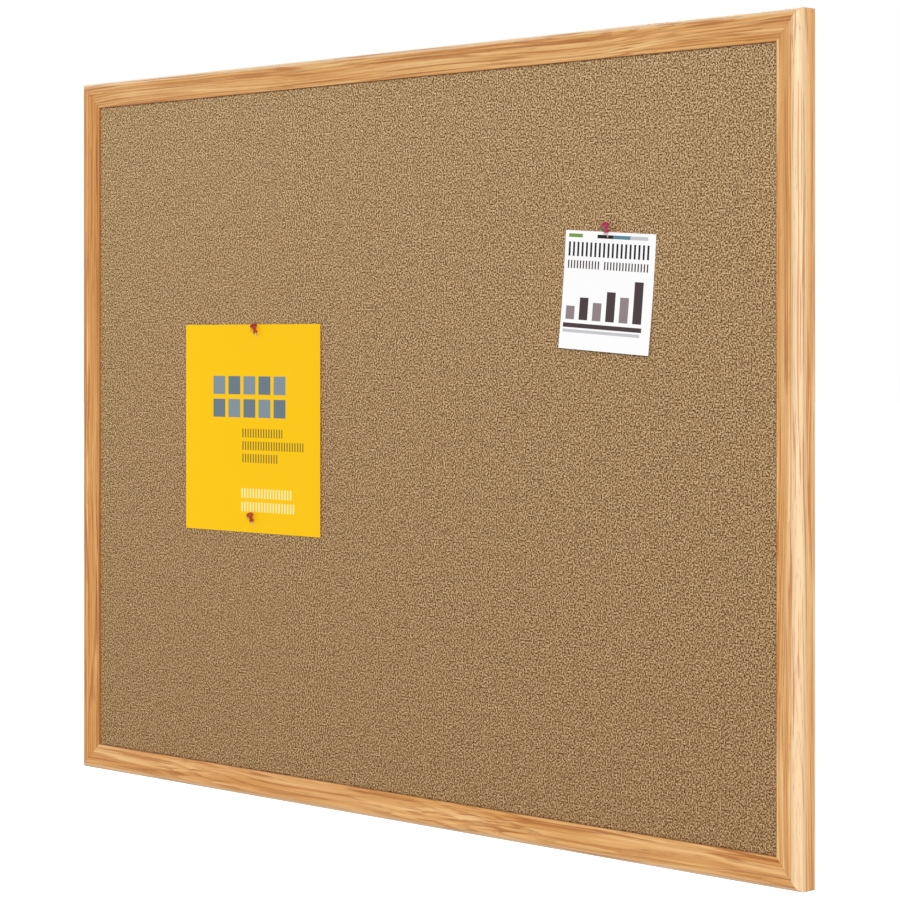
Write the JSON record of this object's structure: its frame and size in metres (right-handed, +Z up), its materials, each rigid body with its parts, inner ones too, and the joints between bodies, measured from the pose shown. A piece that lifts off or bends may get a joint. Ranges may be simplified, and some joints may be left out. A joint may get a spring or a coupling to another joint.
{
  "type": "cork bulletin board",
  "caption": "Wall-hung cork bulletin board in a mitred oak frame, with a pinned poster, a flyer that turns on its pin, push pins that pull out and swinging D-ring hangers.",
  "frame": {"origin": "centre of the framed board: middle of its width and height, and of the moulding's depth", "axes": "+X along the width to the viewer's right, +Z up, the cork faces -Y and the wall is on +Y"},
  "size_m": [1.2192, 0.0383, 0.9144],
  "materials": {
    "oak": "satin",
    "cork": "matte",
    "fiberboard": "matte",
    "hardboard": "matte",
    "zinc_steel": "satin",
    "black_rubber": "matte",
    "poster_paper": "matte",
    "flyer_paper": "matte",
    "pin_plastic": "gloss",
    "needle_steel": "polished"
  },
  "bodies": {
    "board": {"top_rail": "oak", "bottom_rail": "oak", "left_stile": "oak", "right_stile": "oak", "corner_vnails": "zinc_steel", "cork_sheet": "cork", "fiber_core": "fiberboard", "backing_board": "hardboard", "panel_points": "zinc_steel", "left_hanger_strap": "zinc_steel", "right_hanger_strap": "zinc_steel", "hanger_screws": "zinc_steel", "wall_bumpers": "black_rubber", "poster_sheet": "poster_paper"},
    "left_ring": {"left_hanger_ring": "zinc_steel"},
    "right_ring": {"right_hanger_ring": "zinc_steel"},
    "flyer": {"flyer_sheet": "flyer_paper"},
    "poster_top_pin": {"poster_top_pin_handle": "pin_plastic", "poster_top_pin_needle": "needle_steel"},
    "poster_bottom_pin": {"poster_bottom_pin_handle": "pin_plastic", "poster_bottom_pin_needle": "needle_steel"},
    "flyer_pin": {"flyer_pin_handle": "pin_plastic", "flyer_pin_needle": "needle_steel"}
  },
  "joints": [
    {"name": "left_ring_hinge", "type": "hinge", "parent": "board", "child": "left_ring", "pos_m": [-0.5946, 0.01635, 0.3002], "axis": [1, 0, 0], "range_deg": [0, 180]},
    {"name": "right_ring_hinge", "type": "hinge", "parent": "board", "child": "right_ring", "pos_m": [0.5946, 0.01635, 0.3002], "axis": [1, 0, 0], "range_deg": [0, 180]},
    {"name": "flyer_turn", "type": "hinge", "parent": "board", "child": "flyer", "pos_m": [0.338, -0.00777, 0.228], "axis": [0, 1, 0], "continuous": true},
    {"name": "poster_top_pin_pull", "type": "slide", "parent": "board", "child": "poster_top_pin", "axis": [0.1948, -0.5, 0.8438], "range_m": [0, 0.014]},
    {"name": "poster_bottom_pin_pull", "type": "slide", "parent": "board", "child": "poster_bottom_pin", "axis": [0.1948, -0.5, 0.8438], "range_m": [0, 0.014]},
    {"name": "flyer_pin_pull", "type": "slide", "parent": "board", "child": "flyer_pin", "axis": [0.1948, -0.5, 0.8438], "range_m": [0, 0.014]}
  ]
}
